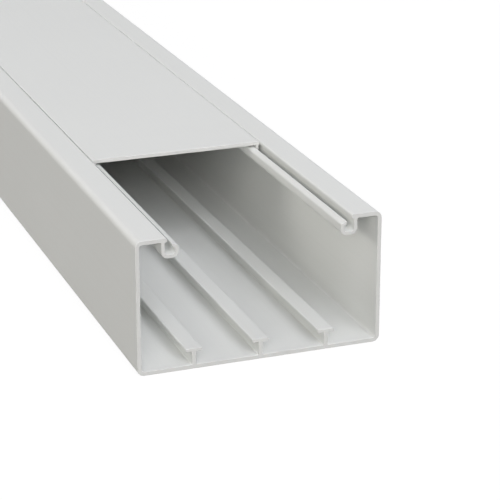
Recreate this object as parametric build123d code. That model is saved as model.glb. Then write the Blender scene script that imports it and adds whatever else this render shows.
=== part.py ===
from build123d import *

import os

# Cable trunking for a wall: an extruded base channel and a snap-in cover, both in rigid grey PVC.
# Frame: X across, Y along the length, Z up from the wall face; origin at the middle of the base's
# back face. Section sketches are drawn with sketch x along X and sketch y along Z. Sizes are in mm.

# Stock sizes
LENGTH = 2000.0
WIDTH = 110.0
HEIGHT = 60.0
WALL = 1.8
OUTER_CORNER = 3.0
INNER_CORNER = 1.2

# Mouth between the lips
MOUTH = 82.5
LIP_OVERHANG = 0.95
LIP_EDGE_ROUND = 0.8
LIP_UNDER_ROUND = 0.5
LIP_ROOT_ROUND = 0.4

# Hook groove that hangs under each lip, just behind the lip's edge
HOOK_WALL = 1.5
HOOK_ROOT_ROUND = 0.8
GROOVE_WIDTH = 4.5
GROOVE_DEPTH = 7.4
GROOVE_BEND = 1.2
UPSTAND_RISE = 3.8
SHOULDER_ROUND = 1.0
BARB_REACH = 1.3
BARB_RISE = 0.95
BARB_TIP = 0.95
BARB_TIP_ROUND = 0.3

# T rails on the floor, which hold clip-on dividers
RAIL_PITCH = 30.0
RAIL_HEIGHT = 7.4
RAIL_STEM = 1.8
RAIL_FLANGE = 7.4
RAIL_FLANGE_THICKNESS = 1.4
RAIL_EDGE_ROUND = 0.6
RAIL_ROOT_ROUND = 0.5

# Snap-in cover, drawn back along its grooves so that the near end of the channel is open
COVER_SIDE_GAP = 0.3
COVER_THICKNESS = 1.7
COVER_EDGE_ROUND = 0.4
COVER_SET_BACK = 110.0
LEG_THICKNESS = 1.2
LEG_ROOT_ROUND = 0.4
LEG_BARB_GAP = 0.3
LEG_BARB = 0.8
LEG_BARB_LAND = 0.4
LEG_FOOT_CHAMFER = 0.3
LEG_FOOT = 0.9

# How near a corner has to be to its place to be picked for rounding
MATCH = 0.01

# Places that follow from the sizes above
LIP_EDGE_X = MOUTH / 2
WEB_FACE_X = LIP_EDGE_X + LIP_OVERHANG
WEB_MIDDLE_X = WEB_FACE_X + HOOK_WALL / 2
GROOVE_FLOOR_Z = HEIGHT - GROOVE_DEPTH
HOOK_BOTTOM_MIDDLE_Z = GROOVE_FLOOR_Z - HOOK_WALL / 2
UPSTAND_FACE_X = WEB_FACE_X - GROOVE_WIDTH
UPSTAND_BACK_X = UPSTAND_FACE_X - HOOK_WALL
UPSTAND_MIDDLE_X = UPSTAND_FACE_X - HOOK_WALL / 2
UPSTAND_TOP_Z = GROOVE_FLOOR_Z + UPSTAND_RISE
BARB_TIP_X = UPSTAND_FACE_X + BARB_REACH
BARB_TOP_Z = UPSTAND_TOP_Z + BARB_RISE
BARB_UNDER_Z = BARB_TOP_Z - BARB_TIP
BARB_ROOT_Z = BARB_UNDER_Z - BARB_REACH
LEG_FACE_X = BARB_TIP_X + LEG_BARB_GAP
LEG_BACK_X = LEG_FACE_X + LEG_THICKNESS
LEG_BARB_TOP_Z = BARB_ROOT_Z + LEG_BARB_GAP


def corners_at(section, x_places, z_place):
    """The section's corners at the given x places, on both sides of its middle, and one height."""
    return [
        corner
        for corner in section.vertices()
        for x in x_places
        if abs(abs(corner.X) - x) < MATCH and abs(corner.Y - z_place) < MATCH
    ]


def channel_walls():
    """Floor, side walls and lips: a rounded tube with the mouth cut out of its top."""
    outside = RectangleRounded(WIDTH, HEIGHT, OUTER_CORNER)
    inside = RectangleRounded(WIDTH - 2 * WALL, HEIGHT - 2 * WALL, INNER_CORNER)
    mouth = Pos(0, HEIGHT / 2) * Rectangle(MOUTH, HEIGHT)
    return Pos(0, HEIGHT / 2) * (outside - inside - mouth)


def hook():
    """Right hook groove: a bent strip under the lip, ending in a barb that leans over the groove."""
    strip_path = FilletPolyline(
        (WEB_MIDDLE_X, HEIGHT - WALL),
        (WEB_MIDDLE_X, HOOK_BOTTOM_MIDDLE_Z),
        (UPSTAND_MIDDLE_X, HOOK_BOTTOM_MIDDLE_Z),
        (UPSTAND_MIDDLE_X, UPSTAND_TOP_Z),
        radius=GROOVE_BEND + HOOK_WALL / 2,
    )
    strip = trace(strip_path, HOOK_WALL)
    barb_outline = Polyline(
        (UPSTAND_BACK_X, UPSTAND_TOP_Z),
        (BARB_TIP_X, BARB_TOP_Z),
        (BARB_TIP_X, BARB_UNDER_Z),
        (UPSTAND_FACE_X, BARB_ROOT_Z),
        (UPSTAND_BACK_X, BARB_ROOT_Z),
        close=True,
    )
    section = strip + make_face(barb_outline)
    section = fillet(corners_at(section, [UPSTAND_BACK_X], UPSTAND_TOP_Z), SHOULDER_ROUND)
    return fillet(corners_at(section, [BARB_TIP_X], BARB_TOP_Z), BARB_TIP_ROUND)


def rail():
    """T rail on the floor: a stem with a flat flange, rounded at the flange's edges."""
    stem = Pos(0, RAIL_HEIGHT / 2) * Rectangle(RAIL_STEM, RAIL_HEIGHT)
    flange_middle = RAIL_HEIGHT - RAIL_FLANGE_THICKNESS / 2
    flange = Pos(0, flange_middle) * Rectangle(RAIL_FLANGE, RAIL_FLANGE_THICKNESS)
    section = stem + flange
    edges = corners_at(section, [RAIL_FLANGE / 2], RAIL_HEIGHT)
    edges += corners_at(section, [RAIL_FLANGE / 2], RAIL_HEIGHT - RAIL_FLANGE_THICKNESS)
    return Pos(0, WALL) * fillet(edges, RAIL_EDGE_ROUND)


def base_section():
    """Whole section of the base channel."""
    right_hook = hook()
    section = channel_walls() + right_hook + mirror(right_hook, about=Plane.YZ)
    for place in (-RAIL_PITCH, 0, RAIL_PITCH):
        section += Pos(place, 0) * rail()
    section = fillet(corners_at(section, [LIP_EDGE_X], HEIGHT), LIP_EDGE_ROUND)
    section = fillet(corners_at(section, [LIP_EDGE_X], HEIGHT - WALL), LIP_UNDER_ROUND)
    section = fillet(corners_at(section, [WEB_FACE_X], HEIGHT - WALL), LIP_ROOT_ROUND)
    section = fillet(corners_at(section, [WEB_FACE_X + HOOK_WALL], HEIGHT - WALL), HOOK_ROOT_ROUND)
    roots = [
        abs(place + side * RAIL_STEM / 2)
        for place in (0, RAIL_PITCH)
        for side in (-1, 1)
    ]
    return fillet(corners_at(section, roots, WALL), RAIL_ROOT_ROUND)


def cover_leg():
    """Right leg of the cover: it stands on the groove's floor, with a barb caught under the hook's."""
    barb_x = LEG_FACE_X - LEG_BARB
    foot_x = LEG_BACK_X - LEG_FOOT_CHAMFER
    outline = Polyline(
        (LEG_BACK_X, HEIGHT - COVER_THICKNESS),
        (LEG_FACE_X, HEIGHT - COVER_THICKNESS),
        (LEG_FACE_X, LEG_BARB_TOP_Z + LEG_BARB),
        (barb_x, LEG_BARB_TOP_Z),
        (barb_x, LEG_BARB_TOP_Z - LEG_BARB_LAND),
        (foot_x - LEG_FOOT, GROOVE_FLOOR_Z),
        (foot_x, GROOVE_FLOOR_Z),
        (LEG_BACK_X, GROOVE_FLOOR_Z + LEG_FOOT_CHAMFER),
        close=True,
    )
    return make_face(outline)


def cover_section():
    """Whole section of the cover: a flat strip, flush with the lips, on two barbed legs."""
    width = MOUTH - 2 * COVER_SIDE_GAP
    strip = Pos(0, HEIGHT - COVER_THICKNESS / 2) * Rectangle(width, COVER_THICKNESS)
    leg = cover_leg()
    section = strip + leg + mirror(leg, about=Plane.YZ)
    leg_roots = corners_at(section, [LEG_FACE_X, LEG_BACK_X], HEIGHT - COVER_THICKNESS)
    section = fillet(leg_roots, LEG_ROOT_ROUND)
    return fillet(corners_at(section, [width / 2], HEIGHT), COVER_EDGE_ROUND)


def stock(section):
    """A section extruded over the sold length, centred along Y."""
    return extrude(Plane.XZ * section, LENGTH / 2, both=True)


parts = {
    "base_channel": stock(base_section()),
    "snap_in_cover": Pos(0, COVER_SET_BACK, 0) * stock(cover_section()),
}

os.makedirs("parts", exist_ok=True)
for name, part in parts.items():
    export_step(part, f"parts/{name}.step")
    box = part.bounding_box()
    print(name, "volume", round(part.volume / 1000, 1), "cm3", "from", box.min, "to", box.max)
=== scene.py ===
# %% [markdown]
# # Grey cable trunking with its cover drawn back
#
# The object is a length of rigid PVC trunking, made of two extrusions: a base channel that is
# fixed to a wall, and a flat cover that snaps in between its lips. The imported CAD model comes
# first, as a fixed frame in metres: X goes across the channel, Y along it, and Z up from the wall
# face. The CAD box is kept here, because the pieces that follow may not grow past it.

# %% Load the frame
import math

import bpy
import numpy as np
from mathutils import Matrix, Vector


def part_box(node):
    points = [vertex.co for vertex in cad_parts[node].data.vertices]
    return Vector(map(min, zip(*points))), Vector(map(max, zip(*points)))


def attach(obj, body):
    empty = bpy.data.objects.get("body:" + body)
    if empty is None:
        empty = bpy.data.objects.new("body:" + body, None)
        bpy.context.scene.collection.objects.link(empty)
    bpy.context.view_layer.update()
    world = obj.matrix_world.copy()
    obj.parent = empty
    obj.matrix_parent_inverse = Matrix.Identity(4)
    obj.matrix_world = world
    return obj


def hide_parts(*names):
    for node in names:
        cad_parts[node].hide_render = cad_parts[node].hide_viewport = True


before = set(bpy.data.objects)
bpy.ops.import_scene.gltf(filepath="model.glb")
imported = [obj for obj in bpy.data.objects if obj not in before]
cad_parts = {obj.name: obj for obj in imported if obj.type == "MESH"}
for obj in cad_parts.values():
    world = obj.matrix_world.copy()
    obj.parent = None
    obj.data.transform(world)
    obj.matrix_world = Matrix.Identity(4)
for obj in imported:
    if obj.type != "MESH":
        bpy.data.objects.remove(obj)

scene = bpy.context.scene
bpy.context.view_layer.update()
base_low, base_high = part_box("base_channel")
cover_low, cover_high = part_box("snap_in_cover")

# %% [markdown]
# ## Camera
#
# The picture is taken with a long lens from the open end, somewhat to the left and above. Where
# the channel's long edges meet gives the direction of the camera, and the size of the cut end
# gives its distance and focal length. Placing it first means that every later step is judged in
# the same view. A camera that isn't turned looks straight down, so its tilt is counted from there.

# %% Camera at the photograph's viewing angle
LENS_MM = 143.4
SENSOR_MM = 36.0
LEVEL_DEG = 90.0
TILTED_DOWN_DEG = 20.56
TURNED_RIGHT_DEG = 20.5
CAMERA_FROM_NEAR_END = (-0.2773, -0.7285, 0.3418)

camera_data = bpy.data.cameras.new("camera")
camera_data.lens = LENS_MM
camera_data.sensor_width = SENSOR_MM
camera = bpy.data.objects.new("camera", camera_data)
camera.location = CAMERA_FROM_NEAR_END
camera.location.y += base_low.y
tilt = math.radians(LEVEL_DEG - TILTED_DOWN_DEG)
camera.rotation_euler = (tilt, 0, math.radians(-TURNED_RIGHT_DEG))
scene.collection.objects.link(camera)
scene.camera = camera
print("camera at", [round(place, 4) for place in camera.location])

# %% [markdown]
# ## Section of the extrusions
#
# A plastic extrusion has one section over its whole length, so the section is the real shape, and
# all that is left is to carry it along Y. It could be drawn by hand as a curve. Here it is a list
# of corners, each with its place and its own radius in millimetres, so that every size can be read
# and changed. Only the right half is written, from the middle of the underside round to the middle
# of the top, and the left half is its mirror image. No corner of a real extrusion is quite sharp,
# so even the plainest ones get a small radius, which catches the light as a fine line.

# %% Outside and lip of the base channel
HALF_WIDTH = 55.0
HEIGHT = 60.0
WALL = 1.8
OUTER_CORNER = 3.0
LIP_X = 41.25
LIP_ROUND = 0.8
LIP_UNDER_ROUND = 0.5

OUTSIDE_AND_LIP = [
    (HALF_WIDTH, 0, OUTER_CORNER),
    (HALF_WIDTH, HEIGHT, OUTER_CORNER),
    (LIP_X, HEIGHT, LIP_ROUND),
    (LIP_X, HEIGHT - WALL, LIP_UNDER_ROUND),
]
print("outside and lip:", len(OUTSIDE_AND_LIP), "corners")

# %% [markdown]
# Under each lip hangs a groove. A web on its outer side holds it to the lip, and the upstand on
# its inner side ends in a barb that leans over the groove, so that the cover's leg snaps in under
# it. Cutting such an undercut out of a solid with Booleans would take several steps, while in a
# list of corners it is no harder than the rest.

# %% Hook groove under the lip
SHARPEST = 0.2
LIP_ROOT = 0.4
WEB_X = 42.2
HOOK_WALL = 1.5
HOOK_ROOT = 0.8
GROOVE_FLOOR = 52.6
GROOVE_BEND = 1.2
UPSTAND_X = 37.7
UPSTAND_TOP = 56.4
SHOULDER = 1.0
BARB_ROOT = 55.1
BARB_UNDER = 56.4
BARB_TOP = 57.35
BARB_TIP_X = 39.0
BARB_TIP_ROUND = 0.3

HOOK = [
    (WEB_X, HEIGHT - WALL, LIP_ROOT),
    (WEB_X, GROOVE_FLOOR, GROOVE_BEND),
    (UPSTAND_X, GROOVE_FLOOR, GROOVE_BEND),
    (UPSTAND_X, BARB_ROOT, SHARPEST),
    (BARB_TIP_X, BARB_UNDER, SHARPEST),
    (BARB_TIP_X, BARB_TOP, BARB_TIP_ROUND),
    (UPSTAND_X - HOOK_WALL, UPSTAND_TOP, SHOULDER),
    (UPSTAND_X - HOOK_WALL, GROOVE_FLOOR - HOOK_WALL, GROOVE_BEND + HOOK_WALL),
    (WEB_X + HOOK_WALL, GROOVE_FLOOR - HOOK_WALL, GROOVE_BEND + HOOK_WALL),
    (WEB_X + HOOK_WALL, HEIGHT - WALL, HOOK_ROOT),
]
print("hook groove:", len(HOOK), "corners")

# %% [markdown]
# Three T rails stand on the floor, and divider walls clip onto them. A rail is the same on both
# sides, so its left side is the mirror image of its right side, and the right-hand rail is both
# sides moved across by the pitch. Of the middle rail only the right side is listed, because the
# whole outline is mirrored later.

# %% Inside and rails of the base channel
INNER_CORNER = 1.2
RAIL_PITCH = 30.0
RAIL_TOP = 9.2
RAIL_UNDER = 7.8
RAIL_HALF_STEM = 0.9
RAIL_HALF_FLANGE = 3.7
RAIL_EDGE = 0.6
RAIL_ROOT = 0.5

INSIDE = [
    (HALF_WIDTH - WALL, HEIGHT - WALL, INNER_CORNER),
    (HALF_WIDTH - WALL, WALL, INNER_CORNER),
]
RAIL_RIGHT_SIDE = [
    (RAIL_HALF_STEM, WALL, RAIL_ROOT),
    (RAIL_HALF_STEM, RAIL_UNDER, SHARPEST),
    (RAIL_HALF_FLANGE, RAIL_UNDER, RAIL_EDGE),
    (RAIL_HALF_FLANGE, RAIL_TOP, RAIL_EDGE),
]
RAIL_LEFT_SIDE = [(-x, z, radius) for x, z, radius in reversed(RAIL_RIGHT_SIDE)]
RAIL = RAIL_RIGHT_SIDE + RAIL_LEFT_SIDE
RIGHT_RAIL = [(RAIL_PITCH + x, z, radius) for x, z, radius in RAIL]

base_half = OUTSIDE_AND_LIP + HOOK + INSIDE + RIGHT_RAIL + RAIL_RIGHT_SIDE
print("base channel:", len(base_half), "corners on each side of the middle")

# %% [markdown]
# The cover is a flat strip with a barbed leg under each side. It is listed in the same way, and it
# takes the height of its top and of its feet from the base. So it lies flush with the lips and
# stands on the grooves' floors whatever those sizes are.

# %% Corners of the cover
COVER_HALF_WIDTH = 40.95
COVER_UNDER = 58.3
COVER_ROUND = 0.4
COVER_LOW_EDGE = 0.1
LEG_IN_X = 39.3
LEG_OUT_X = 40.5
LEG_IN_ROOT = 0.4
LEG_OUT_ROOT = 0.3
LEG_BARB_X = 38.5
LEG_BARB_SLOPE = 56.2
LEG_BARB_TOP = 55.4
LEG_BARB_LOW = 55.0
FOOT_IN_X = 39.3
FOOT_OUT_X = 40.2
FOOT_CHAMFER_TOP = 52.9

cover_half = [
    (LEG_IN_X, COVER_UNDER, LEG_IN_ROOT),
    (LEG_IN_X, LEG_BARB_SLOPE, SHARPEST),
    (LEG_BARB_X, LEG_BARB_TOP, SHARPEST),
    (LEG_BARB_X, LEG_BARB_LOW, SHARPEST),
    (FOOT_IN_X, GROOVE_FLOOR, SHARPEST),
    (FOOT_OUT_X, GROOVE_FLOOR, SHARPEST),
    (LEG_OUT_X, FOOT_CHAMFER_TOP, SHARPEST),
    (LEG_OUT_X, COVER_UNDER, LEG_OUT_ROOT),
    (COVER_HALF_WIDTH, COVER_UNDER, COVER_LOW_EDGE),
    (COVER_HALF_WIDTH, HEIGHT, COVER_ROUND),
]
print("cover:", len(cover_half), "corners on each side of the middle")

# %% [markdown]
# ## From corners to outlines
#
# The corners become a smooth outline in one pass over the whole list. Blender's Bevel modifier
# could round a coarse mesh too, but every edge would need a bevel weight of its own, while here
# the radius is part of the corner. The flat runs are divided as well, because the uneven sawn edge
# and the shallow sink marks need points to move.

# %% Flat runs in short parts
FLAT_STEP = 1.0


def divided_flats(points, normals, masks):
    """The same closed outline, with each run longer than FLAT_STEP cut into equal parts.

    A new point lies a share s along its run; its place, normal and mask are those of the run's
    start plus s times the way to those of its end, and the normal gets unit length again.
    """
    gap = np.linalg.norm(np.roll(points, -1, axis=0) - points, axis=1)
    parts = np.maximum(np.ceil(gap / FLAT_STEP), 1).astype(int)
    run = np.repeat(np.arange(len(points)), parts)
    share = (np.arange(parts.sum()) - np.repeat(np.cumsum(parts) - parts, parts)) / parts[run]
    follow = (run + 1) % len(points)
    places = points[run] + (points[follow] - points[run]) * share[:, None]
    outward = normals[run] + (normals[follow] - normals[run]) * share[:, None]
    outward /= np.linalg.norm(outward, axis=1)[:, None]
    return places, outward, masks[run] + (masks[follow] - masks[run]) * share


print("longest part of a flat run:", FLAT_STEP, "mm")

# %% Outline with rounded corners
ARC_STEPS = 9


def rounded_outline(half):
    """Points (n, 2), outward normals (n, 2) and edge masks (n) round a mirrored section, in mm.

    Two edges that meet at a corner turn by an angle a. An arc of radius r touches them
    r * tan(a / 2) from the corner; its points are its centre plus r times the first edge's normal,
    turned by 0 to a. The mask is 0 on flats and in hollow corners, and on arcs that stand out
    from the plastic it rises to 1 in their middle.
    """
    right = np.array(half)
    corners = np.concatenate([right, right[::-1] * (-1, 1, 1)])
    place, radius = corners[:, :2], corners[:, 2]
    along = place - np.roll(place, 1, axis=0)
    along /= np.linalg.norm(along, axis=1)[:, None]
    onward = np.roll(along, -1, axis=0)
    cross = along[:, 0] * onward[:, 1] - along[:, 1] * onward[:, 0]
    turn = np.arctan2(cross, (along * onward).sum(axis=1))
    outward = np.stack([along[:, 1], -along[:, 0]], axis=1)
    first = place - (radius * np.tan(np.abs(turn) / 2))[:, None] * along
    reach = (np.sign(turn) * radius)[:, None]
    centre = first - reach * outward
    angle = turn[:, None] * np.linspace(0, 1, ARC_STEPS)
    normal = np.stack([
        outward[:, :1] * np.cos(angle) - outward[:, 1:] * np.sin(angle),
        outward[:, :1] * np.sin(angle) + outward[:, 1:] * np.cos(angle),
    ], axis=2)
    points = (centre[:, None] + reach[:, None] * normal).reshape(-1, 2)
    stands_out = (turn > 0)[:, None] * np.sin(np.linspace(0, np.pi, ARC_STEPS))
    return divided_flats(points, normal.reshape(-1, 2), stands_out.ravel())


base_outline = rounded_outline(base_half)
cover_outline = rounded_outline(cover_half)
print("outline points:", len(base_outline[0]), "base,", len(cover_outline[0]), "cover")

# %% [markdown]
# ## Sawn edges and sink marks
#
# A saw cuts the stock to length and a scraper takes off its burr, so a small rounded edge goes
# round each cut end, a little wider here and narrower there. A Bevel modifier would make it the
# same all round. So its radius is a random line instead, added up from waves that close on
# themselves after one round of the outline.

# %% Uneven saw edge
BASE_SEED = 11
BROKEN_EDGE = 0.11
BROKEN_EDGE_SPREAD = 0.07
SMALLEST_BREAK = 0.04
LARGEST_BREAK = 0.18
EDGE_WAVES = 40
LONGEST_WAVE_MM = 90.0
SHORTEST_WAVE_MM = 1.6


def distance_round(places):
    """Distance of each outline point from the first, and of the first again after a round."""
    steps = np.diff(np.concatenate([places, places[:1]]), axis=0)
    return np.concatenate([[0], np.cumsum(np.linalg.norm(steps, axis=1))])


def uneven(arc, seed):
    """A smooth random line round the outline, with a spread of about 1.

    It is a sum of sines with random phases and heights. Each goes a whole number of times round
    the outline, and their wavelengths go down by equal ratios from the longest to the shortest. A
    sum of n such sines has a spread of sqrt(n / 2), so it is divided by that.
    """
    random = np.random.default_rng(seed)
    around = arc[-1]
    turns = np.geomspace(around / LONGEST_WAVE_MM, around / SHORTEST_WAVE_MM, EDGE_WAVES).round()
    phase = random.uniform(0, 2 * np.pi, EDGE_WAVES)
    height = random.normal(0, 1, EDGE_WAVES)
    waves = np.sin(2 * np.pi * arc[:-1, None] / around * turns + phase)
    return waves @ height / np.sqrt(EDGE_WAVES / 2)


def saw_edge(places, seed):
    """Radius of the broken edge at each outline point, in mm, inside what a wall can take."""
    radius = BROKEN_EDGE + BROKEN_EDGE_SPREAD * uneven(distance_round(places), seed)
    return np.clip(radius, SMALLEST_BREAK, LARGEST_BREAK)


base_break = saw_edge(base_outline[0], BASE_SEED)
print("broken edge of the base:", base_break.min().round(3), "to", base_break.max().round(3), "mm")

# %% [markdown]
# Where a rib stands on a wall there is more plastic to cool, so the other side of the wall sinks
# by a few hundredths of a millimetre, and that shows as a faint line when light grazes the face. A
# bump map could fake it. The outline already has points there, so they simply move in.

# %% Sink marks
SINK_DEPTH = 0.05
SINK_WIDTH = 1.6
ON_FACE_WITHIN = 0.2


def sunk(places, normals, rib_places, face_z):
    """The outline with a shallow hollow on the face at height face_z over each rib.

    A point moves in by SINK_DEPTH * exp(-((x - rib) / SINK_WIDTH) ** 2), summed over the ribs.
    """
    over = np.exp(-(((places[:, :1] - np.array(rib_places)) / SINK_WIDTH) ** 2)).sum(axis=1)
    on_face = np.abs(places[:, 1] - face_z) < ON_FACE_WITHIN
    return places - (SINK_DEPTH * over * on_face)[:, None] * normals


print("sink marks:", SINK_DEPTH, "mm deep")

# %% [markdown]
# ## Carrying the section along the length
#
# Each piece is a grid: one direction goes round the outline, the other along Y. A curve with the
# section as its bevel would carry it too, but all its rings would be alike. In a grid the rings
# next to an end can turn over the broken edge. A flat cap closes the end.

# %% Grid of an extrusion
EDGE_RINGS = 5
RINGS_ALONG = 26


def extruded_grid(places, normals, start, length, seed):
    """Grid (rings, points, 3) in mm: the outline at every ring, turned in over both cut edges.

    On the cut edge an angle t goes from a quarter turn at the end face to 0 on the side. There the
    ring is radius * (1 - sin t) behind the face and radius * (1 - cos t) inside the outline.
    """
    quarter = np.linspace(np.pi / 2, 0, EDGE_RINGS)[:, None]
    ends = [saw_edge(places, seed), saw_edge(places, seed + 1)]
    behind = [(1 - np.sin(quarter)) * radius for radius in ends]
    inside = [(1 - np.cos(quarter)) * radius for radius in ends]
    middle = np.linspace(0, 1, RINGS_ALONG + 2)[1:-1, None] * length + np.zeros(len(places))
    y = np.concatenate([behind[0], middle, length - behind[1][::-1]]) + start
    inset = np.concatenate([inside[0], np.zeros_like(middle), inside[1][::-1]])
    x = places[:, 0] - inset * normals[:, 0]
    z = places[:, 1] - inset * normals[:, 1]
    return np.stack([x, y, z], axis=2)


print("rings along a piece:", RINGS_ALONG + 2 * EDGE_RINGS)

# %% [markdown]
# The grid becomes faces between its rings, and gets normals for smooth shading. Blender works out
# such normals by itself, but where a wide flat meets a narrow arc it tilts them, and the flat
# looks puffed. So they are measured on the grid.

# %% Normals and faces of the grid
def grid_normals(grid):
    """Unit normals: the cross product of the grid's differences along Y and round the outline."""
    along = np.gradient(grid, axis=0)
    around = np.roll(grid, -1, axis=1) - np.roll(grid, 1, axis=1)
    normal = np.cross(along, around)
    normal[0] = (0, -1, 0)
    normal[-1] = (0, 1, 0)
    return normal / np.linalg.norm(normal, axis=2)[:, :, None]


def grid_faces(rings, points):
    """Four-cornered faces between neighbouring rings, and one many-cornered cap on each end."""
    ring, point = np.meshgrid(np.arange(rings - 1), np.arange(points), indexing="ij")
    here = ring * points + point
    beside = ring * points + (point + 1) % points
    sides = np.stack([here, here + points, beside + points, beside], axis=2).reshape(-1, 4)
    near_cap = np.arange(points)
    far_cap = near_cap[::-1] + (rings - 1) * points
    return sides.tolist() + [near_cap.tolist(), far_cap.tolist()]


print("faces round one ring of the base:", len(base_outline[0]))

# %% [markdown]
# An exported model can't keep node patterns. Baking them into pictures needs a flat map of the
# piece. Blender's Smart UV Project would give a 2 m length and its small end the same scale, and
# the end would get a handful of pixels. The grid makes a better map easy: the sides unroll into
# one rectangle, and the two cut ends lie above it, side by side, at their own, much larger scale.

# %% Flat map of an extrusion
BAKE_MAP = "OFBake"
MAP_MARGIN = 0.006
EDGE_SHARE = 0.004
END_SHARE = 0.5


def flat_map(grid):
    """Places (corners, 2) on a unit square for every face corner, in the order of grid_faces.

    On the sides u is the distance round the outline over the whole of it, and v goes evenly along
    Y, with a share of its own for each broken edge. A cut end keeps its X and Z, both times one
    scale.
    """
    rings, points = grid.shape[:2]
    middle = grid[rings // 2][:, [0, 2]]
    low = middle.min(axis=0)
    scale = (END_SHARE - 2 * MAP_MARGIN) / np.ptp(middle[:, 0])
    sides_top = 1 - scale * np.ptp(middle[:, 1]) - 3 * MAP_MARGIN
    u = distance_round(middle)
    u = MAP_MARGIN + (1 - 2 * MAP_MARGIN) * u / u[-1]
    edge = np.linspace(0, EDGE_SHARE, EDGE_RINGS)
    between = np.linspace(EDGE_SHARE, 1 - EDGE_SHARE, RINGS_ALONG + 2)[1:-1]
    v = MAP_MARGIN + (sides_top - MAP_MARGIN) * np.concatenate([edge, between, 1 - edge[::-1]])
    ring, point = np.meshgrid(np.arange(rings - 1), np.arange(points), indexing="ij")
    corner_u = np.stack([u[point], u[point], u[point + 1], u[point + 1]], axis=2)
    corner_v = np.stack([v[ring], v[ring + 1], v[ring + 1], v[ring]], axis=2)
    sides = np.stack([corner_u, corner_v], axis=3).reshape(-1, 2)
    ends_low = np.array((MAP_MARGIN, sides_top + MAP_MARGIN))
    near = (grid[0][:, [0, 2]] - low) * scale + ends_low
    far = (grid[-1][::-1, [0, 2]] * (-1, 1) - low) * scale + ends_low + (END_SHARE, 0)
    return np.concatenate([sides, near, far])


print("edge of the map left free:", MAP_MARGIN)

# %% [markdown]
# A piece is put together from its mesh, its normals, its flat map and two masks, which are stored
# on the mesh's points. One mask is 1 on the cut ends, the other on edges that stand out. Blender's
# Pointiness could find such edges too, but it depends on how fine the mesh is, while the outline
# knows them exactly.

# %% A piece with its normals, masks and map
MM = 0.001
SAWN_MASK = "sawn"
EDGE_MASK = "edge"


def extrusion(name, outline, start, length, seed):
    """A piece whose outline is carried from start over length, with its masks for the material."""
    places, normals, stands_out = outline
    grid = extruded_grid(places, normals, start, length, seed)
    rings, points = grid.shape[:2]
    mesh = bpy.data.meshes.new(name)
    mesh.from_pydata((grid.reshape(-1, 3) * MM).tolist(), [], grid_faces(rings, points))
    mesh.shade_smooth()
    mesh.normals_split_custom_set_from_vertices(grid_normals(grid).reshape(-1, 3).tolist())
    sawn = np.zeros((rings, points))
    sawn[:EDGE_RINGS] = np.linspace(1, 0, EDGE_RINGS)[:, None]
    sawn[-EDGE_RINGS:] = np.linspace(0, 1, EDGE_RINGS)[:, None]
    edge = np.tile(stands_out, (rings, 1))
    edge[:EDGE_RINGS - 1] = 1
    edge[1 - EDGE_RINGS:] = 1
    for mask_name, mask in ((SAWN_MASK, sawn), (EDGE_MASK, edge)):
        mask_data = mesh.attributes.new(mask_name, "FLOAT", "POINT").data
        mask_data.foreach_set("value", mask.astype(np.float32).ravel())
    bake_map = mesh.uv_layers.new(name=BAKE_MAP)
    bake_map.uv.foreach_set("vector", flat_map(grid).astype(np.float32).ravel())
    piece = bpy.data.objects.new(name, mesh)
    scene.collection.objects.link(piece)
    print(name, len(mesh.vertices), "vertices,", len(mesh.polygons), "faces")
    return piece


print("masks on each piece:", SAWN_MASK, "and", EDGE_MASK)

# %% [markdown]
# ### Base channel
#
# The base channel is one extrusion: floor, walls, lips, a hook groove under each lip and three T
# rails on the floor. It could be joined from several boxes, but that would leave seams that the
# real one doesn't have, so the whole outline goes along Y at once. The sink marks are on its back
# face, under the rails.

# %% Base channel
RAIL_PLACES = (-RAIL_PITCH, 0, RAIL_PITCH)
BACK_FACE = 0.0

base_places, base_normals, base_edges = base_outline
base_sunk = sunk(base_places, base_normals, RAIL_PLACES, BACK_FACE)
base = extrusion(
    "base_channel_extrusion",
    (base_sunk, base_normals, base_edges),
    base_low.y / MM,
    (base_high.y - base_low.y) / MM,
    BASE_SEED,
)
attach(base, "base")
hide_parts("base_channel")

# %% [markdown]
# ### Cover
#
# The cover is a flat strip on two barbed legs. It lies flush with the lips, and at rest it is
# drawn back from the open end. It is made in the same way as the base, as a piece of its own,
# because it slides. Its sink marks are on the top, over the legs.

# %% Cover
COVER_SEED = 21
LEG_X = (LEG_IN_X + LEG_OUT_X) / 2
LEG_PLACES = (-LEG_X, LEG_X)

cover_places, cover_normals, cover_edges = cover_outline
cover_sunk = sunk(cover_places, cover_normals, LEG_PLACES, HEIGHT)
cover = extrusion(
    "snap_in_cover_extrusion",
    (cover_sunk, cover_normals, cover_edges),
    cover_low.y / MM,
    (cover_high.y - cover_low.y) / MM,
    COVER_SEED,
)
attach(cover, "cover")
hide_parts("snap_in_cover")

# %% [markdown]
# ## Grey PVC
#
# Rigid PVC trunking is coloured through, a light grey with a satin skin. The die leaves fine lines
# along the whole length, the skin has a faint grain, and edges that stick out are rubbed a little
# lighter. All of this could be painted into pictures, but those blur close up. So each effect is a
# node group that gives a value or a colour, and both extrusions can use it with their own amounts.
# All patterns are read from Object coordinates, stretched along Y where the mark runs with the
# extrusion.

# %% Helper for node groups
FLOAT = "NodeSocketFloat"
VECTOR = "NodeSocketVector"
COLOR = "NodeSocketColor"


def new_group(name, inputs, outputs):
    """A shader node group with its sockets, and its input and output nodes."""
    group = bpy.data.node_groups.new(name, "ShaderNodeTree")
    for socket_name, kind in inputs:
        group.interface.new_socket(socket_name, in_out="INPUT", socket_type=kind)
    for socket_name, kind in outputs:
        group.interface.new_socket(socket_name, in_out="OUTPUT", socket_type=kind)
    return group, group.nodes.new("NodeGroupInput"), group.nodes.new("NodeGroupOutput")


print("kinds of socket:", FLOAT, VECTOR, COLOR)

# %% Helpers for nodes
# A Mix node has sockets for every kind of value; these are the places of those for colours.
MIX_FACTOR, MIX_FIRST, MIX_SECOND = 0, 6, 7
MIX_RESULT = 2


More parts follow.
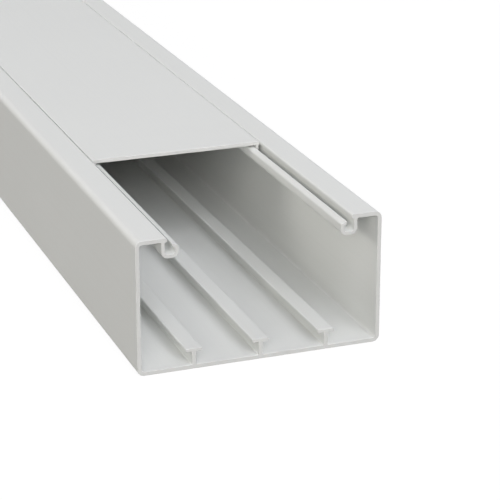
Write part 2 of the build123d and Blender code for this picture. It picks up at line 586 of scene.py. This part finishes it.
def add_node(tree, kind, values=None, **settings):
    """A node with its settings and the values of its unlinked inputs."""
    node = tree.nodes.new(kind)
    for setting, value in settings.items():
        setattr(node, setting, value)
    for socket, value in (values or {}).items():
        node.inputs[socket].default_value = value
    return node


def feed(tree, source, socket):
    """Links source to socket if it is an output, or sets it there if it is a number or colour."""
    if isinstance(source, (int, float, tuple)):
        socket.default_value = source
    else:
        tree.links.new(source, socket)


def add_math(tree, operation, *sources):
    """The output of a Math node; its sources are output sockets or plain numbers."""
    node = add_node(tree, "ShaderNodeMath", operation=operation)
    for socket, source in zip(node.inputs, sources):
        feed(tree, source, socket)
    return node.outputs["Value"]


def mixed_color(tree, factor, first, second):
    """The output of a Mix node between two colours; each is a socket or four numbers."""
    mix = add_node(tree, "ShaderNodeMix", data_type="RGBA")
    for place, source in ((MIX_FACTOR, factor), (MIX_FIRST, first), (MIX_SECOND, second)):
        feed(tree, source, mix.inputs[place])
    return mix.outputs[MIX_RESULT]


print("colour sockets of a Mix node:", MIX_FIRST, "and", MIX_SECOND)

# %% [markdown]
# The plastic is pushed out hot through a steel die, and every small scratch in the die draws a
# fine line along the whole length. Blender's Wave texture would draw even stripes. Noise that is
# stretched along Y gives lines of uneven strength, which slowly come and go.

# %% Die lines
die_lines, die_in, die_out = new_group(
    "die_lines",
    [("Place", VECTOR), ("Lines per metre", FLOAT), ("Changes per metre", FLOAT)],
    [("Lines", FLOAT)],
)
stretch = add_node(die_lines, "ShaderNodeCombineXYZ")
stretched = add_node(die_lines, "ShaderNodeVectorMath", operation="MULTIPLY")
line_noise = add_node(
    die_lines, "ShaderNodeTexNoise", {"Scale": 1.0, "Detail": 3.0, "Roughness": 0.6}
)
die_lines.links.new(die_in.outputs["Lines per metre"], stretch.inputs["X"])
die_lines.links.new(die_in.outputs["Changes per metre"], stretch.inputs["Y"])
die_lines.links.new(die_in.outputs["Lines per metre"], stretch.inputs["Z"])
die_lines.links.new(die_in.outputs["Place"], stretched.inputs[0])
die_lines.links.new(stretch.outputs["Vector"], stretched.inputs[1])
die_lines.links.new(stretched.outputs["Vector"], line_noise.inputs["Vector"])
die_lines.links.new(line_noise.outputs["Fac"], die_out.inputs["Lines"])
print("node group", die_lines.name)

# %% [markdown]
# A circular saw leaves arcs round its axle on the cut ends. A Wave texture with rings would space
# them evenly. So the distance from the axle goes into a noise with one dimension, which gives arcs
# of uneven width, and the mask of the cut ends keeps them off the skin.

# %% Saw marks
SAW_AXLE_X = 0.06
SAW_AXLE_Z = 0.19

saw_marks, saw_in, saw_out = new_group(
    "saw_marks",
    [("Place", VECTOR), ("Sawn", FLOAT), ("Marks per metre", FLOAT)],
    [("Marks", FLOAT)],
)
split_place = add_node(saw_marks, "ShaderNodeSeparateXYZ")
saw_marks.links.new(saw_in.outputs["Place"], split_place.inputs["Vector"])
from_axle = add_node(saw_marks, "ShaderNodeCombineXYZ")
across = add_math(saw_marks, "SUBTRACT", split_place.outputs["X"], SAW_AXLE_X)
above = add_math(saw_marks, "SUBTRACT", split_place.outputs["Z"], SAW_AXLE_Z)
saw_marks.links.new(across, from_axle.inputs["X"])
saw_marks.links.new(above, from_axle.inputs["Z"])
axle_distance = add_node(saw_marks, "ShaderNodeVectorMath", operation="LENGTH")
saw_marks.links.new(from_axle.outputs["Vector"], axle_distance.inputs[0])
mark_rate = saw_in.outputs["Marks per metre"]
mark_place = add_math(saw_marks, "MULTIPLY", axle_distance.outputs["Value"], mark_rate)
mark_noise = add_node(
    saw_marks, "ShaderNodeTexNoise", {"Scale": 1.0, "Detail": 2.0}, noise_dimensions="1D"
)
saw_marks.links.new(mark_place, mark_noise.inputs["W"])
cut_marks = add_math(saw_marks, "MULTIPLY", mark_noise.outputs["Fac"], saw_in.outputs["Sawn"])
saw_marks.links.new(cut_marks, saw_out.inputs["Marks"])
print("node group", saw_marks.name)

# %% [markdown]
# Handling rubs the edges that stand out, and there the grey is a little lighter. The edge mask
# alone would draw an even line along every edge, as if it were painted on, so noise breaks it up.

# %% Rubbed edges
RUBS_PER_METRE = 60.0

rubbed_edges, rub_in, rub_out = new_group(
    "rubbed_edges",
    [
        ("Place", VECTOR),
        ("Edge", FLOAT),
        ("Color", COLOR),
        ("Rubbed color", COLOR),
        ("Amount", FLOAT),
    ],
    [("Color", COLOR)],
)
rub_noise = add_node(
    rubbed_edges, "ShaderNodeTexNoise", {"Scale": RUBS_PER_METRE, "Detail": 4.0}
)
rubbed_edges.links.new(rub_in.outputs["Place"], rub_noise.inputs["Vector"])
broken_up = add_math(rubbed_edges, "MULTIPLY", rub_noise.outputs["Fac"], rub_in.outputs["Edge"])
rubbed = add_math(rubbed_edges, "MULTIPLY", broken_up, rub_in.outputs["Amount"])
lighter = mixed_color(
    rubbed_edges, rubbed, rub_in.outputs["Color"], rub_in.outputs["Rubbed color"]
)
rubbed_edges.links.new(lighter, rub_out.inputs["Color"])
print("node group", rubbed_edges.name)

# %% [markdown]
# The satin skin isn't equally glossy everywhere: it has broad, soft patches, and a grain so fine
# that it only softens the reflections. One noise with many octaves could hold both, but the
# patches belong in the roughness and the grain in the relief, so each gets a noise of its own.

# %% Satin skin
satin_skin, skin_in, skin_out = new_group(
    "satin_skin",
    [("Place", VECTOR), ("Patches per metre", FLOAT), ("Grains per metre", FLOAT)],
    [("Patches", FLOAT), ("Grain", FLOAT)],
)
patch_noise = add_node(satin_skin, "ShaderNodeTexNoise", {"Detail": 3.0, "Roughness": 0.55})
grain_noise = add_node(satin_skin, "ShaderNodeTexNoise", {"Detail": 1.0})
for noise, rate, out in (
    (patch_noise, "Patches per metre", "Patches"),
    (grain_noise, "Grains per metre", "Grain"),
):
    satin_skin.links.new(skin_in.outputs["Place"], noise.inputs["Vector"])
    satin_skin.links.new(skin_in.outputs[rate], noise.inputs["Scale"])
    satin_skin.links.new(noise.outputs["Fac"], skin_out.inputs[out])
print("node group", satin_skin.name)

# %% [markdown]
# The material puts the groups together. The colour of the skin varies by a percent or two with the
# die lines, and the roughness by a few hundredths with the patches. One Bump node takes the grain,
# the die lines and the saw marks as a height in metres. Real displacement could show them too, but
# at these sizes it would need millions of faces. The cut ends are more matt, where the saw has
# taken the skin off, and their much darker grey is painted shade, which stands in for less light
# falling on the ends.

# %% Colour of the grey PVC
GREY = (0.754, 0.766, 0.747, 1)
GREY_DARKER = (0.726, 0.738, 0.719, 1)
# The cut ends' grey is painted shade: darker than the skin, so that the ends render less lit.
SAWN_GREY_PAINTED_SHADE = (0.462, 0.467, 0.449, 1)
GREY_RUBBED = (0.800, 0.810, 0.795, 1)
RUBBED_AMOUNT = 0.3


def group_node(tree, group, values, links):
    """A node group placed in a material, with its own values and links."""
    node = add_node(tree, "ShaderNodeGroup", values, node_tree=group)
    for socket, source in links.items():
        tree.links.new(source, node.inputs[socket])
    return node


def pvc_color(tree, place, sawn, edge, lines):
    """Streaked skin grey, painted shade darkening the sawn ends, and lighter rubbed edges."""
    streaked = mixed_color(tree, lines, GREY, GREY_DARKER)
    # Painted shade: the sawn ends take the darker grey.
    skin_or_painted_shade_cut = mixed_color(tree, sawn, streaked, SAWN_GREY_PAINTED_SHADE)
    rub = group_node(
        tree,
        rubbed_edges,
        {"Rubbed color": GREY_RUBBED, "Amount": RUBBED_AMOUNT},
        {"Place": place, "Edge": edge, "Color": skin_or_painted_shade_cut},
    )
    return rub.outputs["Color"]


print("grey of the skin:", GREY[:3], "and of the cut ends:", SAWN_GREY_PAINTED_SHADE[:3])

# %% Roughness and relief of the grey PVC
GLOSS_SPREAD = 0.16
SAWN_EXTRA_ROUGHNESS = 0.2
GRAIN_HEIGHT = 4e-6
SAW_MARK_HEIGHT = 4e-5


def pvc_roughness(tree, middle, patches, sawn):
    """Middle roughness plus GLOSS_SPREAD * (patches - 1/2), and more on the sawn ends."""
    patchy = add_math(tree, "MULTIPLY_ADD", patches, GLOSS_SPREAD, middle - GLOSS_SPREAD / 2)
    return add_math(tree, "MULTIPLY_ADD", sawn, SAWN_EXTRA_ROUGHNESS, patchy)


def pvc_relief(tree, line_height, lines, grain, marks):
    """Normals bumped by die lines, grain and saw marks, each times its height, added up."""
    line_relief = add_math(tree, "MULTIPLY", lines, line_height)
    grain_relief = add_math(tree, "MULTIPLY_ADD", grain, GRAIN_HEIGHT, line_relief)
    mark_relief = add_math(tree, "MULTIPLY_ADD", marks, SAW_MARK_HEIGHT, grain_relief)
    bump = add_node(tree, "ShaderNodeBump", {"Strength": 1.0, "Distance": 1.0})
    tree.links.new(mark_relief, bump.inputs["Height"])
    return bump.outputs["Normal"]


print("relief in metres:", GRAIN_HEIGHT, "grain,", SAW_MARK_HEIGHT, "saw marks")

# %% Grey PVC on both pieces
PVC_IOR = 1.53
PVC_SHINE = 0.2
DIE_LINES_PER_METRE = 700.0
LINE_CHANGES_PER_METRE = 1.2
SAW_MARKS_PER_METRE = 2600.0
PATCHES_PER_METRE = 18.0
GRAINS_PER_METRE = 2200.0


def grey_pvc(name, roughness, line_height):
    """Satin grey PVC with its own middle roughness and height of the die lines, in metres."""
    material = bpy.data.materials.new(name)
    material.use_nodes = True
    tree = material.node_tree
    shader = tree.nodes["Principled BSDF"]
    shader.inputs["IOR"].default_value = PVC_IOR
    shader.inputs["Specular IOR Level"].default_value = PVC_SHINE
    place = add_node(tree, "ShaderNodeTexCoord").outputs["Object"]
    sawn = add_node(tree, "ShaderNodeAttribute", attribute_name=SAWN_MASK).outputs["Fac"]
    edge = add_node(tree, "ShaderNodeAttribute", attribute_name=EDGE_MASK).outputs["Fac"]

    lines = group_node(
        tree,
        die_lines,
        {"Lines per metre": DIE_LINES_PER_METRE, "Changes per metre": LINE_CHANGES_PER_METRE},
        {"Place": place},
    ).outputs["Lines"]
    marks = group_node(
        tree,
        saw_marks,
        {"Marks per metre": SAW_MARKS_PER_METRE},
        {"Place": place, "Sawn": sawn},
    ).outputs["Marks"]
    skin = group_node(
        tree,
        satin_skin,
        {"Patches per metre": PATCHES_PER_METRE, "Grains per metre": GRAINS_PER_METRE},
        {"Place": place},
    )

    color = pvc_color(tree, place, sawn, edge, lines)
    dullness = pvc_roughness(tree, roughness, skin.outputs["Patches"], sawn)
    normal = pvc_relief(tree, line_height, lines, skin.outputs["Grain"], marks)
    tree.links.new(color, shader.inputs["Base Color"])
    tree.links.new(dullness, shader.inputs["Roughness"])
    tree.links.new(normal, shader.inputs["Normal"])
    return material


base.data.materials.append(grey_pvc("base_grey_pvc", roughness=0.6, line_height=1.2e-5))
cover.data.materials.append(grey_pvc("cover_grey_pvc", roughness=0.57, line_height=1.0e-5))
print("materials", [material.name for material in bpy.data.materials])

# %% [markdown]
# ## Floor, light and background
#
# The studio has a plain pale floor that runs out into a white background. A floor that is really
# white throws so much light up that the side walls lose their shade. So the floor's own colour is
# dark, and it looks white by a light of its own that only the camera and reflections see. That
# light doesn't reach the object, while the object's shadow still falls on the floor.

# %% Rays that only look
def seen_by(tree):
    """A socket that is 1 for camera, glossy and transmission rays and 0 for all others."""
    rays = add_node(tree, "ShaderNodeLightPath").outputs
    seen = add_math(tree, "MAXIMUM", rays["Is Camera Ray"], rays["Is Glossy Ray"])
    return add_math(tree, "MAXIMUM", seen, rays["Is Transmission Ray"])


print("rays that see the floor and the world as white: camera, glossy and transmission")

# %% Floor
WHITE = (1, 1, 1, 1)
FLOOR_HALF = 8.0
FLOOR_COLOR = (0.1, 0.1, 0.1, 1)
FLOOR_ROUGHNESS = 0.9
FLOOR_SHINE = 0.0
FLOOR_LIFT = 0.93

floor_mesh = bpy.data.meshes.new("floor")
floor_corners = np.array([(-1, -1, 0), (1, -1, 0), (1, 1, 0), (-1, 1, 0)]) * FLOOR_HALF
floor_mesh.from_pydata(floor_corners.tolist(), [], [(0, 1, 2, 3)])
floor = bpy.data.objects.new("floor", floor_mesh)
scene.collection.objects.link(floor)

floor_material = bpy.data.materials.new("pale_floor")
floor_material.use_nodes = True
floor_tree = floor_material.node_tree
floor_shader = floor_tree.nodes["Principled BSDF"]
floor_shader.inputs["Base Color"].default_value = FLOOR_COLOR
floor_shader.inputs["Roughness"].default_value = FLOOR_ROUGHNESS
floor_shader.inputs["Specular IOR Level"].default_value = FLOOR_SHINE
floor_shader.inputs["Emission Color"].default_value = WHITE
lift = add_math(floor_tree, "MULTIPLY", seen_by(floor_tree), FLOOR_LIFT)
floor_tree.links.new(lift, floor_shader.inputs["Emission Strength"])
floor_mesh.materials.append(floor_material)
print("floor", 2 * FLOOR_HALF, "m square")

# %% [markdown]
# The world goes the same way. It is white where it is seen, and as a light it is weak: it fills
# the sides that no lamp reaches, and leaves the inside of the channel to get darker under the
# cover.

# %% World
WORLD_STRENGTH = 0.12
SEEN_STRENGTH = 1.0

world = bpy.data.worlds.new("studio")
world.use_nodes = True
scene.world = world
world_tree = world.node_tree
sky = world_tree.nodes["Background"]
sky_seen = seen_by(world_tree)
sky_level = add_node(world_tree, "ShaderNodeMix", {"A": WORLD_STRENGTH, "B": SEEN_STRENGTH})
world_tree.links.new(sky_seen, sky_level.inputs["Factor"])
world_tree.links.new(sky_level.outputs["Result"], sky.inputs["Strength"])
sky.inputs["Color"].default_value = WHITE
scene.view_settings.view_transform = "Standard"
print("world strength", WORLD_STRENGTH)

# %% [markdown]
# Pale plastic needs large soft lamps, because a small lamp would draw hard shadows of the hooks on
# the floor of the channel. The strongest soft box looks in at the open end from above, a high one
# on the right reaches the left-hand lanes, a low one lights the inner wall and the cut end, and
# two more light the left and right sides. A smaller, low one beyond the far end shines in under
# the cover there, far enough off that the cover doesn't glare when it is drawn back. Together they
# are at a plain level, at which the top of the cover renders about as its colour is written.

# %% A soft box
def soft_box(name, aim, far, turn, rise, size, watts, color):
    """An area lamp that shines on aim from far metres away, with its width and height as size.

    turn goes from the front towards the right and rise up from the horizon, both in degrees. The
    lamp stands at aim plus far times (sin turn cos rise, -cos turn cos rise, sin rise).
    """
    turn, rise = math.radians(turn), math.radians(rise)
    level = math.cos(rise)
    away = Vector((math.sin(turn) * level, -math.cos(turn) * level, math.sin(rise)))
    lamp_data = bpy.data.lights.new(name, "AREA")
    lamp_data.shape = "RECTANGLE"
    lamp_data.size, lamp_data.size_y = size
    lamp_data.energy = watts
    lamp_data.color = color
    lamp = bpy.data.objects.new(name, lamp_data)
    lamp.location = aim + away * far
    lamp.rotation_mode = "QUATERNION"
    lamp.rotation_quaternion = away.to_track_quat("Z", "Y")
    scene.collection.objects.link(lamp)
    print(name, "at", [round(place, 2) for place in lamp.location])


NEAR_AIM_INSIDE = 0.05
HALF_HEIGHT = (base_low.z + base_high.z) / 2
NEAR_END = Vector((0.0, base_low.y + NEAR_AIM_INSIDE, HALF_HEIGHT))
FAR_END = Vector((0.0, base_high.y, HALF_HEIGHT))
print("soft boxes look at y =", round(NEAR_END.y, 3), "and y =", round(FAR_END.y, 3))

# %% The soft boxes
COOL = (0.952, 0.953, 1.0)
WARM = (1.0, 0.966, 0.914)
LARGE = (4.8, 4.0)
WIDE = (4.8, 2.8)
SMALL = (2.4, 1.4)
SMALLEST = (1.4, 0.6)

soft_box("front_box", NEAR_END, far=6.0, turn=0, rise=35, size=LARGE, watts=277.0, color=COOL)
soft_box("high_box", NEAR_END, far=6.0, turn=30, rise=60, size=LARGE, watts=88.0, color=COOL)
soft_box("low_front_box", NEAR_END, far=6.0, turn=330, rise=15, size=WIDE, watts=212.0, color=WARM)
soft_box("left_box", NEAR_END, far=6.0, turn=265, rise=24, size=SMALL, watts=62.0, color=WARM)
soft_box("right_box", NEAR_END, far=6.0, turn=105, rise=15, size=WIDE, watts=82.0, color=COOL)
soft_box("far_end_box", FAR_END, far=3.0, turn=200, rise=8, size=SMALLEST, watts=24.0, color=COOL)
